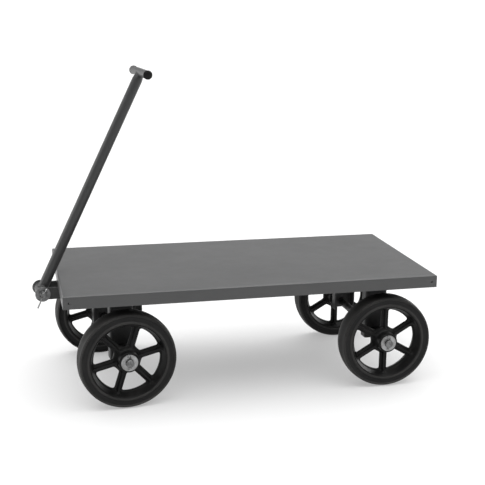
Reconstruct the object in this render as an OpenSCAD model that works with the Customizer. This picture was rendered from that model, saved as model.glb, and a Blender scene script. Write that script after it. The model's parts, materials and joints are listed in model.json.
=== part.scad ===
// Platform truck with turntable steering and a tow handle that folds down to the floor.
// Millimetres. The towing end is at -X, the left side is at -Y, Z is up and the floor is Z = 0.
// The front running gear stands turned by steer_rest and the handle leans back by lean_rest.

/* [Platform] */
// Length of the platform
deck_len = 1222.4; // [1100:0.1:1500]
// Width of the platform
deck_wid = 609.6; // [600:0.1:620]
// Height of the platform's top above the floor
deck_h = 381.7; // [380:0.1:400]
// Thickness of the platform's sheet
sheet_t = 2.7; // [2:0.1:4]
// Depth of the turned-down edges
flange_h = 40.5; // [30:0.1:42]
// Outside radius of the bends
bend_r = 4.5; // [4.2:0.1:8]
// Diameter of the small holes in the long edges
tie_hole_d = 8; // [5:0.1:10]
// Distance of those holes from the corners
tie_hole_in = 19; // [15:0.1:40]

/* [Wheels] */
// Diameter of the tyres
wheel_d = 311.4; // [296:0.1:312]
// Width of the tyres
tyre_w = 71; // [62:0.1:76]
// Distance of the tyres' middle planes from the centre line
track_half = 259.6; // [258:0.1:264]
// Radius of the seat between the cast wheel and its tyre
seat_r = 119; // [117:0.1:122]
// Width of a spoke
spoke_w = 25.2; // [18:0.1:28]
// Length of a hub
hub_len = 84.4; // [78:0.1:88]
// Radius of a hub's ends
hub_r = 32.5; // [30:0.1:36]
// Diameter of the axles
axle_d = 25.4; // [20:0.1:26]
// Distance from the front edge to the front axle
front_inset = 176.8; // [176:0.1:190]
// Distance from the rear edge to the rear axle
rear_inset = 163.7; // [140:0.1:250]
// Angle of the spokes in the front wheels
front_phase = 13; // [0:1:59]
// Angle of the spokes in the rear wheels
rear_phase = 30; // [0:1:59]

/* [Risers] */
// Width of an upright channel
riser_w = 76.2; // [70:0.1:80]
// Depth of its flanges
riser_flange = 38.1; // [30:0.1:45]
// Thickness of its metal
riser_t = 5; // [4:0.1:7]
// Distance of the channels' outer faces from the centre line
riser_y = 180; // [170:0.1:184]
// Height of the front channels' lower ends above the floor
front_riser_z = 125.3; // [118:0.1:138]
// Height of the rear channels' lower ends above the floor
rear_riser_z = 135.3; // [118:0.1:138]

/* [Tow handle] */
// Distance from the kingpin forward to the handle's pivot
pivot_u = 229; // [228:0.1:240]
// Height of the handle's lugs
lug_h = 38.1; // [32:0.1:40]
// Thickness of the lugs
lug_t = 9.5; // [8:0.1:11]
// Gap between the lugs
lug_gap = 66; // [60:0.1:72]
// Distance from the pivot to the middle of the cross grip
handle_len = 783; // [600:1:785]
// Outside diameter of the shank tube
shank_d = 33.4; // [25:0.1:34]
// Outside diameter of the cross grip
grip_d = 26.7; // [22:0.1:30]
// Length of the cross grip with its plugs
grip_len = 228.6; // [180:0.1:260]

/* [Rest position] */
// Turn of the front running gear to the right
steer_rest = 4.2; // [0:0.1:8]
// Lean of the handle back over the platform
lean_rest = 25.5; // [0:0.1:25.6]

/* [Hidden] */
$fn = 96;

LEFT = -1;
RIGHT = 1;

running = 0.05;         // radial clearance of a shaft that turns in its hole
gap = 0.3;              // gap between two faces that slide past each other
slot_height = 0.82;     // height of a cotter in its nut, as a share of the nut
slot_room = 0.6;        // a nut's slots are this much wider than its cotter
hole_room = 0.2;        // and the shaft's hole this much
shaft_chamfer = 1.5;
centre_drill = 3;

// Heights of the turntable, counted down from the sheet
king_plate_t = 8;
race_t = 9.5;
race_gap = 1.6;
bolster_t = 10;
sheet_z = deck_h - sheet_t;
king_z = sheet_z - king_plate_t;
upper_race_z = king_z - race_t;
lower_race_z = upper_race_z - race_gap - race_t;
bolster_z = lower_race_z - bolster_t;
flange_z = deck_h - flange_h;

// Turntable
race_pitch_r = 90;
race_w = 34;
ball_r = 4.75;
ball_count = 28;
groove_r = ball_r + 0.15;
ball_z = lower_race_z + race_t + race_gap / 2;
kingpin_d = 25.4;
kingpin_end_z = 303.3;
kingpin_washer_t = 4;
kingpin_nut_t = 24;
kingpin_nut_af = 38;
kingpin_nut_z = bolster_z - gap - kingpin_washer_t;
kingpin_cotter_z = kingpin_nut_z - slot_height * kingpin_nut_t;
kingpin_cotter_d = 4.2;
king_plate_len = 236;
king_plate_wid = 412;
bolster_len = 150;
bolster_wid = 370;

// Under the sheet
stiffener_h = 30;
stiffener_w = 26;
stiffener_y = 235;
rear_bolster_len = 120;
rear_bolster_wid = 400;
rear_bolster_t = 6;

// Axles and hubs
axle_z = wheel_d / 2;
washer_r = 26.7;
washer_t = 3.2;
hub_out = track_half + hub_len / 2;
hub_in = track_half - hub_len / 2;
washer_out = hub_out + gap + washer_t;
cotter_out = washer_out + 4.6;
axle_end = washer_out + 10.5;
spacer_r = 19;
hub_cotter_d = 3.8;

// Handle pivot
lug_in = lug_gap / 2;
lug_out = lug_in + lug_t;
lug_back = 60;
pivot_z = bolster_z - lug_h / 2;
pivot_pin_r = 7.95;
pivot_washer_r = 24.5;
pivot_nut_af = 24;
pivot_nut_t = 14;
pivot_cotter_d = 3.8;
pivot_cotter_y = lug_out + washer_t + slot_height * pivot_nut_t;
pivot_cotter_angle = 65;
barrel_r = 19;
barrel_len = lug_gap - 1;
shank_wall = 3.4;
grip_wall = 2.9;
plug_t = 3.8;
plug_rim = 1.2;         // the plugs' heads stand this much outside the grip
swage_len = 26;         // the shank narrows over this length to fit under the grip
swage_r = 12.7;

// The origin lies on the floor under the middle of the whole object
front_reach = (pivot_u + pivot_washer_r) * cos(steer_rest)
    + (lug_out + washer_t) * sin(steer_rest) - front_inset;
deck_x = front_reach / 2;
kingpin_x = deck_x - deck_len / 2 + front_inset;
rear_axle_x = deck_x + deck_len / 2 - rear_inset;

grey = "dimgray";
black = [0.12, 0.12, 0.13];
zinc = "silver";

// ---- places ----

module steered() {
    translate([kingpin_x, 0, 0]) rotate([0, 0, steer_rest]) children();
}

module at_rear_axle() {
    translate([rear_axle_x, 0, 0]) children();
}

// The handle's own frame: Y along the pivot, Z up the shank
module on_handle() {
    steered() translate([-pivot_u, 0, pivot_z]) rotate([0, lean_rest, 0]) children();
}

// A frame whose Z runs out along the axle on one side, dist from the centre line
module out_from(side, dist, z = axle_z) {
    translate([0, side * dist, z]) rotate([-90 * side, 0, 0]) children();
}

// ---- shapes that repeat ----

module ring(r_out, r_in, h) {
    difference() {
        cylinder(r = r_out, h = h);
        translate([0, 0, -1]) cylinder(r = r_in, h = h + 2);
    }
}

// Outline of a bar w wide whose two corners at +Y have radius r
module two_round_corners(w, h, r) {
    translate([-w / 2, 0]) square([w, h - r]);
    translate([-w / 2 + r, 0]) square([w - 2 * r, h]);
    for (s = [-1, 1]) translate([s * (w / 2 - r), h - r]) circle(r);
}

// Outline of a bent channel: web at +Y, flanges reaching down to Y = 0
module channel_outline(w, depth, t, r) {
    difference() {
        two_round_corners(w, depth, r);
        translate([0, -1]) two_round_corners(w - 2 * t, depth - t + 1, r - t);
    }
}

// Solid with the bent-down edges' outside form
module pan(l, w, h, r) {
    intersection() {
        translate([0, w / 2 + 1, 0]) rotate([90, 0, 0]) {
            linear_extrude(w + 2) two_round_corners(l, h, r);
        }
        translate([-l / 2 - 1, 0, 0]) rotate([90, 0, 90]) {
            linear_extrude(l + 2) two_round_corners(w, h, r);
        }
    }
}

// Hexagon across flats af, t thick, its corners turned off at the far end
module hexagon(af, t) {
    top_r = 0.48 * af;
    intersection() {
        rotate([0, 0, 30]) cylinder(d = af / cos(30), h = t, $fn = 6);
        cylinder(r1 = top_r + t / tan(30), r2 = top_r, h = t);
    }
}

// Shaft along Z with a chamfer at its far end
module chamfered_shaft(r, h, chamfer) {
    cylinder(r = r, h = h - chamfer);
    translate([0, 0, h - chamfer]) cylinder(r1 = r, r2 = r - chamfer, h = chamfer);
}

// Hexagon nut with slots for a cotter, standing on Z = 0
module slotted_nut(af, t, bore_r, slot_w) {
    body_t = 0.64 * t;
    slot_floor = body_t + 0.4;
    castle_r = 0.43 * af;
    difference() {
        union() {
            hexagon(af, body_t);
            chamfered_shaft(castle_r, t, 1);
        }
        translate([0, 0, -1]) cylinder(r = bore_r, h = t + 2);
        for (a = [0, 60, 120]) rotate([0, 0, a]) {
            translate([-af, -slot_w / 2, slot_floor]) cube([2 * af, slot_w, t]);
        }
    }
}

// Cotter pin along X: loop on the +X side, legs bent apart on the -X side
module cotter(d, grip, tail, splay) {
    loop_r = 1.35 * d;
    rotate([0, -90, 0]) translate([0, 0, -grip / 2]) cylinder(d = d, h = grip, $fn = 32);
    translate([grip / 2 + loop_r, 0, 0]) rotate_extrude($fn = 48) {
        translate([loop_r, 0]) circle(d = 0.9 * d, $fn = 24);
    }
    for (s = [-1, 1]) translate([-grip / 2 + 0.2 * d, 0, 0]) rotate([0, -90, s * splay]) {
        cylinder(d = 0.62 * d, h = tail, $fn = 24);
    }
}

function polar(r, a) = r * [cos(a), sin(a)];
function arc(c, r, from, to, n) = [for (i = [0:n]) c + polar(r, from + (to - from) * i / n)];

// ---- platform ----

module deck_sheet() {
    color(grey) difference() {
        translate([deck_x, 0, flange_z]) pan(deck_len, deck_wid, flange_h, bend_r);
        translate([deck_x, 0, flange_z - 1]) {
            pan(deck_len - 2 * sheet_t, deck_wid - 2 * sheet_t, flange_h - sheet_t + 1, bend_r - sheet_t);
        }
        for (end = [-1, 1]) {
            translate([deck_x + end * (deck_len / 2 - tie_hole_in), 0, deck_h - flange_h / 2]) {
                rotate([90, 0, 0]) cylinder(d = tie_hole_d, h = deck_wid + 2, center = true, $fn = 32);
            }
        }
    }
}

// Channel that lies along X under the sheet, open downwards
module deck_channel(length, y) {
    translate([deck_x - length / 2, y, sheet_z - stiffener_h]) {
        rotate([90, 0, 90]) linear_extrude(length) {
            channel_outline(stiffener_w, stiffener_h, sheet_t, bend_r);
        }
    }
}

module deck_stiffeners() {
    color(grey) for (side = [LEFT, RIGHT]) {
        deck_channel(deck_len - 2 * sheet_t - 6, side * stiffener_y);
    }
}

module deck_cross_members() {
    span = 2 * stiffener_y - stiffener_w;
    first_x = kingpin_x + king_plate_len / 2;
    last_x = rear_axle_x - rear_bolster_len / 2;
    color(grey) for (i = [1, 2]) {
        translate([first_x + (last_x - first_x) * i / 3, span / 2, sheet_z - stiffener_h]) {
            rotate([90, 0, 0]) linear_extrude(span) {
                channel_outline(stiffener_w, stiffener_h, sheet_t, bend_r);
            }
        }
    }
}

// ---- turntable ----

module king_plate() {
    color(grey) difference() {
        translate([kingpin_x - king_plate_len / 2, -king_plate_wid / 2, king_z]) {
            cube([king_plate_len, king_plate_wid, king_plate_t]);
        }
        translate([kingpin_x, 0, king_z - 1]) cylinder(d = kingpin_d, h = king_plate_t + 2);
    }
}

module race(z) {
    translate([0, 0, z]) difference() {
        ring(race_pitch_r + race_w / 2, race_pitch_r - race_w / 2, race_t);
        translate([0, 0, ball_z - z]) rotate_extrude() {
            translate([race_pitch_r, 0]) circle(groove_r, $fn = 48);
        }
    }
}

module upper_race() {
    color(black) translate([kingpin_x, 0, 0]) race(upper_race_z);
}

module lower_race() {
    color(black) steered() race(lower_race_z);
}

module race_balls() {
    color(zinc) steered() for (i = [0:ball_count - 1]) {
        rotate([0, 0, i * 360 / ball_count]) translate([race_pitch_r, 0, ball_z]) sphere(ball_r, $fn = 32);
    }
}

module kingpin() {
    color(zinc) difference() {
        translate([kingpin_x, 0, sheet_z]) mirror([0, 0, 1]) {
            chamfered_shaft(kingpin_d / 2, sheet_z - kingpin_end_z, shaft_chamfer);
        }
        translate([kingpin_x, 0, kingpin_cotter_z]) rotate([0, 90, 0]) {
            cylinder(d = kingpin_cotter_d + hole_room, h = 3 * kingpin_d, center = true, $fn = 32);
        }
    }
}

module kingpin_washer() {
    color(zinc) translate([kingpin_x, 0, kingpin_nut_z]) {
        ring(washer_r, kingpin_d / 2 + running, kingpin_washer_t);
    }
}

module kingpin_nut() {
    color(zinc) translate([kingpin_x, 0, kingpin_nut_z]) mirror([0, 0, 1]) {
        slotted_nut(kingpin_nut_af, kingpin_nut_t, kingpin_d / 2, kingpin_cotter_d + slot_room);
    }
}

module kingpin_cotter() {
    color(zinc) translate([kingpin_x, 0, kingpin_cotter_z]) {
        cotter(kingpin_cotter_d, grip = 36.5, tail = 11, splay = 35);
    }
}

module front_bolster() {
    cut = 30;
    color(grey) steered() difference() {
        translate([-bolster_len / 2, -bolster_wid / 2, bolster_z]) {
            cube([bolster_len, bolster_wid, bolster_t]);
        }
        translate([0, 0, bolster_z - 1]) cylinder(r = kingpin_d / 2 + running, h = bolster_t + 2);
        for (sx = [-1, 1]) for (sy = [-1, 1]) {
            translate([sx * bolster_len / 2, sy * bolster_wid / 2, bolster_z - 1]) {
                rotate([0, 0, 45]) translate([-cut / 2, -cut / 2, 0]) cube([cut, cut, bolster_t + 2]);
            }
        }
    }
}

// ---- uprights, axles and what is on them ----

// Upright channel with its web outboard and its flanges turned inboard
module riser(side, z_low, z_high) {
    difference() {
        translate([0, side * (riser_y - riser_flange), z_low]) mirror([0, (1 - side) / 2, 0]) {
            linear_extrude(z_high - z_low) channel_outline(riser_w, riser_flange, riser_t, riser_t + 3);
        }
        out_from(side, riser_y - riser_flange) cylinder(d = axle_d, h = 2 * riser_flange);
    }
}

module front_left_riser() {
    color(grey) steered() riser(LEFT, front_riser_z, bolster_z);
}

module front_right_riser() {
    color(grey) steered() riser(RIGHT, front_riser_z, bolster_z);
}

module rear_left_riser() {
    color(grey) at_rear_axle() riser(LEFT, rear_riser_z, bolster_z);
}

module rear_right_riser() {
    color(grey) at_rear_axle() riser(RIGHT, rear_riser_z, bolster_z);
}

// Channel across the platform, its web down on the risers and its flanges up against the sheet
module rear_bolster() {
    height = sheet_z - bolster_z;
    color(grey) translate([rear_axle_x, rear_bolster_wid / 2, sheet_z]) rotate([90, 0, 0]) {
        linear_extrude(rear_bolster_wid) mirror([0, 1]) {
            channel_outline(rear_bolster_len, height, rear_bolster_t, rear_bolster_t + 3);
        }
    }
}

module axle() {
    difference() {
        union() {
            out_from(LEFT, shaft_chamfer - axle_end) {
                cylinder(d = axle_d, h = 2 * (axle_end - shaft_chamfer));
            }
            for (side = [LEFT, RIGHT]) out_from(side, axle_end - shaft_chamfer) {
                cylinder(r1 = axle_d / 2, r2 = axle_d / 2 - shaft_chamfer, h = shaft_chamfer);
            }
        }
        for (side = [LEFT, RIGHT]) {
            translate([0, side * cotter_out, axle_z]) {
                cylinder(d = hub_cotter_d + hole_room, h = 2 * axle_d, center = true, $fn = 32);
            }
            out_from(side, axle_end - centre_drill) {
                cylinder(r1 = 0, r2 = centre_drill + 0.1, h = centre_drill + 0.1);
            }
        }
    }
}

module front_axle() {
    color(zinc) steered() axle();
}

module rear_axle() {
    color(zinc) at_rear_axle() axle();
}

// Tube between each riser and a thin washer at the hub
module spacers() {
    length = hub_in - gap - washer_t - riser_y;
    for (side = [LEFT, RIGHT]) {
        out_from(side, riser_y) ring(spacer_r, axle_d / 2, length);
        out_from(side, riser_y + length) ring(washer_r, axle_d / 2, washer_t);
    }
}

module front_spacers() {
    color(black) steered() spacers();
}

module rear_spacers() {
    color(black) at_rear_axle() spacers();
}

module hub_washers() {
    for (side = [LEFT, RIGHT]) out_from(side, hub_out + gap) ring(washer_r, axle_d / 2, washer_t);
}

module front_hub_washers() {
    color(zinc) steered() hub_washers();
}

module rear_hub_washers() {
    color(zinc) at_rear_axle() hub_washers();
}

module hub_cotters() {
    for (side = [LEFT, RIGHT]) translate([0, side * cotter_out, axle_z]) {
        rotate([0, -90, 0]) rotate([90, 0, 0]) cotter(hub_cotter_d, grip = 29, tail = 9, splay = 38);
    }
}

module front_cotter_pins() {
    color(zinc) steered() hub_cotters();
}

module rear_cotter_pins() {
    color(zinc) at_rear_axle() hub_cotters();
}

// ---- wheels: axis along Z, outboard is +Z, middle plane at Z = 0 ----

module tyre() {
    r = wheel_d / 2;
    shoulder = 10;
    crown = 150;
    hollow = 20;
    hollow_depth = 2.6;
    color(black) rotate_extrude($fn = 180) difference() {
        intersection() {
            union() {
                translate([seat_r, -tyre_w / 2]) square([r - shoulder - seat_r, tyre_w]);
                translate([seat_r, -tyre_w / 2 + shoulder]) square([r - seat_r, tyre_w - 2 * shoulder]);
                for (s = [-1, 1]) translate([r - shoulder, s * (tyre_w / 2 - shoulder)]) circle(shoulder);
            }
            translate([r - crown, 0]) circle(crown, $fn = 180);
        }
        for (s = [-1, 1]) {
            translate([seat_r + 11, s * (tyre_w / 2 + hollow - hollow_depth)]) circle(hollow);
        }
    }
}

// Window between two spokes, from the spoke at angle 0 to the one at 60
module spoke_window(r_in, r_out, depth) {
    corner_out = 7;
    corner_in = 5;
    a = asin((spoke_w / 2 + corner_out) / (r_out - corner_out));
    b = asin((spoke_w / 2 + corner_in) / (r_in + corner_in));
    outline = concat(
        arc(polar(r_out - corner_out, a), corner_out, -90, a, 5),
        arc([0, 0], r_out, a + 4, 56 - a, 6),
        arc(polar(r_out - corner_out, 60 - a), corner_out, 60 - a, 150, 5),
        arc(polar(r_in + corner_in, 60 - b), corner_in, 150, 240 - b, 4),
        arc([0, 0], r_in, 57 - b, b + 3, 3),
        arc(polar(r_in + corner_in, b), corner_in, 180 + b, 270, 4));
    translate([0, 0, -depth / 2]) linear_extrude(depth) polygon(outline);
}

module wheel_centre() {
    rim_mid = 107.8;
    rim_edge = 115;
    rim_half = 30;
    web_t = 10;
    land = web_t / 2 + 0.7;
    rib_w = 8;
    rib_h = 30;
    rib_end = 116;
    boss_r = 44;
    bore_r = 19.1;
    end_z = hub_len / 2;
    color(black) difference() {
        union() {
            rotate_extrude($fn = 120) polygon([[seat_r, -rim_half], [seat_r, rim_half],
                [rim_edge, rim_half], [rim_mid, land], [rim_mid, -land], [rim_edge, -rim_half]]);
            difference() {
                translate([0, 0, -web_t / 2]) cylinder(r = rim_mid + 2, h = web_t);
                for (i = [0:5]) rotate([0, 0, 60 * i]) {
                    spoke_window(boss_r - 3, rim_mid - 1.2, web_t + 2);
                }
            }
            for (i = [0:5]) rotate([0, 0, 60 * i]) {
                translate([hub_r - 4, -rib_w / 2, -rib_h / 2]) cube([rib_end - hub_r + 4, rib_w, rib_h]);
            }
            rotate_extrude() polygon([[0, -end_z], [hub_r - 2, -end_z], [hub_r, 2 - end_z], [hub_r, -20],
                [boss_r - 4, -12], [boss_r, -land], [boss_r, land], [boss_r - 4, 12],
                [hub_r, 20], [hub_r, end_z - 2], [hub_r - 2, end_z], [0, end_z]]);
        }
        translate([0, 0, -hub_len]) cylinder(r = bore_r, h = 2 * hub_len);
    }
}

// Sleeve and rollers in the hub's bore
module roller_bearing() {
    length = 64;
    sleeve_out = 19.1;
    sleeve_in = 17.2;
    roller_r = 2.13;
    roller_count = 16;
    color(zinc) {
        translate([0, 0, -length / 2]) ring(sleeve_out, sleeve_in, length);
        for (i = [0:roller_count - 1]) rotate([0, 0, i * 360 / roller_count]) {
            translate([sleeve_in - roller_r - running, 0, -length / 2 + 2]) {
                cylinder(r = roller_r, h = length - 4, $fn = 24);
            }
        }
    }
}

// Puts a wheel piece on its axle; phase is seen from the left side
module on_axle(side, phase) {
    out_from(side, track_half) rotate([0, 0, -side * phase]) children();
}

module front_left_tyre() { steered() on_axle(LEFT, front_phase) tyre(); }
module front_left_wheel() { steered() on_axle(LEFT, front_phase) wheel_centre(); }
module front_left_bearing() { steered() on_axle(LEFT, front_phase) roller_bearing(); }
module front_right_tyre() { steered() on_axle(RIGHT, front_phase) tyre(); }
module front_right_wheel() { steered() on_axle(RIGHT, front_phase) wheel_centre(); }
module front_right_bearing() { steered() on_axle(RIGHT, front_phase) roller_bearing(); }
module rear_left_tyre() { at_rear_axle() on_axle(LEFT, rear_phase) tyre(); }
module rear_left_wheel() { at_rear_axle() on_axle(LEFT, rear_phase) wheel_centre(); }
module rear_left_bearing() { at_rear_axle() on_axle(LEFT, rear_phase) roller_bearing(); }
module rear_right_tyre() { at_rear_axle() on_axle(RIGHT, rear_phase) tyre(); }
module rear_right_wheel() { at_rear_axle() on_axle(RIGHT, rear_phase) wheel_centre(); }
module rear_right_bearing() { at_rear_axle() on_axle(RIGHT, rear_phase) roller_bearing(); }

// ---- tow handle and what it turns on ----

// Flat bar under the front bolster, round at the pivot
module handle_lug(side) {
    y_low = side == RIGHT ? lug_in : -lug_out;
    difference() {
        union() {
            translate([-pivot_u, y_low, pivot_z - lug_h / 2]) cube([pivot_u + lug_back, lug_t, lug_h]);
            out_from(side, lug_in, pivot_z) translate([-pivot_u, 0, 0]) cylinder(d = lug_h, h = lug_t);
        }
        out_from(side, lug_in - 1, pivot_z) {
            translate([-pivot_u, 0, 0]) cylinder(r = pivot_pin_r, h = lug_t + 2);
        }
    }
}

module left_handle_lug() {
    color(grey) steered() handle_lug(LEFT);
}

module right_handle_lug() {
    color(grey) steered() handle_lug(RIGHT);
}

// Bolt from the right-hand lug to the left, drilled for its cotter
module pivot_bolt() {
    head_t = 10;
    seat = lug_out + washer_t;
    color(zinc) steered() translate([-pivot_u, 0, pivot_z]) difference() {
        union() {
            translate([0, seat, 0]) {
                rotate([-90, 0, 0]) hexagon(pivot_nut_af, head_t);
                rotate([90, 0, 0]) chamfered_shaft(pivot_pin_r, 2 * seat + pivot_nut_t + 3, 1);
            }
        }
        translate([0, -pivot_cotter_y, 0]) rotate([0, 90 - pivot_cotter_angle, 0]) {
            cylinder(d = pivot_cotter_d + hole_room, h = 40, center = true, $fn = 32);
        }
    }
}

module pivot_washers() {
    color(zinc) steered() for (side = [LEFT, RIGHT]) {
        out_from(side, lug_out, pivot_z) {
            translate([-pivot_u, 0, 0]) ring(pivot_washer_r, pivot_pin_r, washer_t);
        }
    }
}

module pivot_nut() {
    color(zinc) steered() out_from(LEFT, lug_out + washer_t, pivot_z) translate([-pivot_u, 0, 0]) {
        rotate([0, 0, pivot_cotter_angle]) {
            slotted_nut(pivot_nut_af, pivot_nut_t, pivot_pin_r, pivot_cotter_d + slot_room);
        }
    }
}

module pivot_cotter() {
    color(zinc) steered() translate([-pivot_u, -pivot_cotter_y, pivot_z]) {
        rotate([0, -pivot_cotter_angle, 0]) cotter(pivot_cotter_d, grip = 29, tail = 31, splay = 5);
    }
}

module pivot_barrel() {
    color(grey) on_handle() translate([0, -barrel_len / 2, 0]) rotate([-90, 0, 0]) {
        ring(barrel_r, pivot_pin_r + running, barrel_len);
    }
}

// Bar along Z that narrows to swage_r - inset at its far end
module swaged_bar(inset) {
    r = shank_d / 2 - inset;
    cylinder(r = r, h = handle_len - swage_len);
    translate([0, 0, handle_len - swage_len]) cylinder(r1 = r, r2 = swage_r - inset, h = swage_len);
}

// Tube fitted to the barrel below and swaged to fit under the grip above
module handle_shank() {
    color(grey) on_handle() difference() {
        swaged_bar(0);
        swaged_bar(shank_wall);
        rotate([90, 0, 0]) cylinder(r = barrel_r, h = barrel_len, center = true);
        translate([0, 0, handle_len]) rotate([90, 0, 0]) cylinder(d = grip_d, h = grip_len, center = true);
    }
}

module t_grip() {
    length = grip_len - 2 * plug_t;
    color(grey) on_handle() translate([0, -length / 2, handle_len]) rotate([-90, 0, 0]) {
        ring(grip_d / 2, grip_d / 2 - grip_wall, length);
    }
}

module grip_plugs() {
    stem = 14;
    dome_r = 32;
    color(black) on_handle() for (side = [LEFT, RIGHT]) {
        out_from(side, grip_len / 2 - plug_t, handle_len) {
            translate([0, 0, -stem]) cylinder(r = grip_d / 2 - grip_wall, h = stem);
            intersection() {
                cylinder(r = grip_d / 2 + plug_rim, h = plug_t);
                translate([0, 0, plug_t - dome_r]) sphere(dome_r);
            }
        }
    }
}

deck_sheet();
deck_stiffeners();
deck_cross_members();
king_plate();
upper_race();
kingpin();
kingpin_washer();
kingpin_nut();
kingpin_cotter();
rear_bolster();
rear_left_riser();
rear_right_riser();
rear_axle();
rear_spacers();
rear_hub_washers();
rear_cotter_pins();
lower_race();
race_balls();
front_bolster();
front_left_riser();
front_right_riser();
front_axle();
front_spacers();
front_hub_washers();
front_cotter_pins();
left_handle_lug();
right_handle_lug();
pivot_bolt();
pivot_washers();
pivot_nut();
pivot_cotter();
pivot_barrel();
handle_shank();
t_grip();
grip_plugs();
front_left_tyre();
front_left_wheel();
front_left_bearing();
front_right_tyre();
front_right_wheel();
front_right_bearing();
rear_left_tyre();
rear_left_wheel();
rear_left_bearing();
rear_right_tyre();
rear_right_wheel();
rear_right_bearing();
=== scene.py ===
"""Platform truck with turntable steering and a T-handled tow bar: its looks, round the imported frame."""
import json
import math

import bmesh
import bpy
import numpy as np
from mathutils import Matrix, Vector


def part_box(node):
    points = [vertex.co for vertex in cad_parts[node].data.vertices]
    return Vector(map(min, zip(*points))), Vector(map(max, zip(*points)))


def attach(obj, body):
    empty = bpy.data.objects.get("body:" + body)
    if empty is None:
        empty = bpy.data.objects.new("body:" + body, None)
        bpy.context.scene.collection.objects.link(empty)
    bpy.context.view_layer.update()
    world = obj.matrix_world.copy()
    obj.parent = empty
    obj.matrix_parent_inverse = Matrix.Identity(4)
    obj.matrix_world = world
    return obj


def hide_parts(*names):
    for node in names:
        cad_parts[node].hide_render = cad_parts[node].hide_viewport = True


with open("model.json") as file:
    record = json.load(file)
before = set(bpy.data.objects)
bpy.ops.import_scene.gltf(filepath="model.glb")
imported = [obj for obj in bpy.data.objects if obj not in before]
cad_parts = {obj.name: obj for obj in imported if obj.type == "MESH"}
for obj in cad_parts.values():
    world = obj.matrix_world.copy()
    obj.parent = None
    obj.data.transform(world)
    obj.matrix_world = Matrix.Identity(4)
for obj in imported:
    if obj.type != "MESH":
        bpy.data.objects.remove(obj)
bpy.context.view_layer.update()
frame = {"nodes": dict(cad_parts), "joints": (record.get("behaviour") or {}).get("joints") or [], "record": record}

MM = 0.001
scene = bpy.context.scene
nodes = frame["nodes"]
body_of = {n: b for b, ns in frame["record"]["behaviour"]["bodies"].items() for n in ns}
joints = {j["name"]: j for j in frame["joints"]}


# ---------------------------------------------------------------- camera

# The photograph's camera: place in metres, directions, lens in millimetres, shift in picture widths
CAMERA_AT = (-0.72328, -3.23360, 1.27306)
CAMERA_FORWARD = (0.25994, 0.93948, -0.22319)
CAMERA_UP = (0.04093, 0.22021, 0.97459)
CAMERA_LENS = 73.85
CAMERA_SHIFT = (-0.0670, -0.0361)


def place_camera():
    data = bpy.data.cameras.new("photo_camera")
    camera = bpy.data.objects.new("photo_camera", data)
    scene.collection.objects.link(camera)
    forward = Vector(CAMERA_FORWARD).normalized()
    up = Vector(CAMERA_UP)
    right = forward.cross(up).normalized()
    up = right.cross(forward)
    turn = Matrix((right, up, -forward)).transposed().to_4x4()
    camera.matrix_world = Matrix.Translation(CAMERA_AT) @ turn
    data.sensor_width = 36
    data.lens = CAMERA_LENS
    data.shift_x, data.shift_y = CAMERA_SHIFT
    data.clip_end = 100
    scene.camera = camera


# ---------------------------------------------------------------- materials

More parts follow.
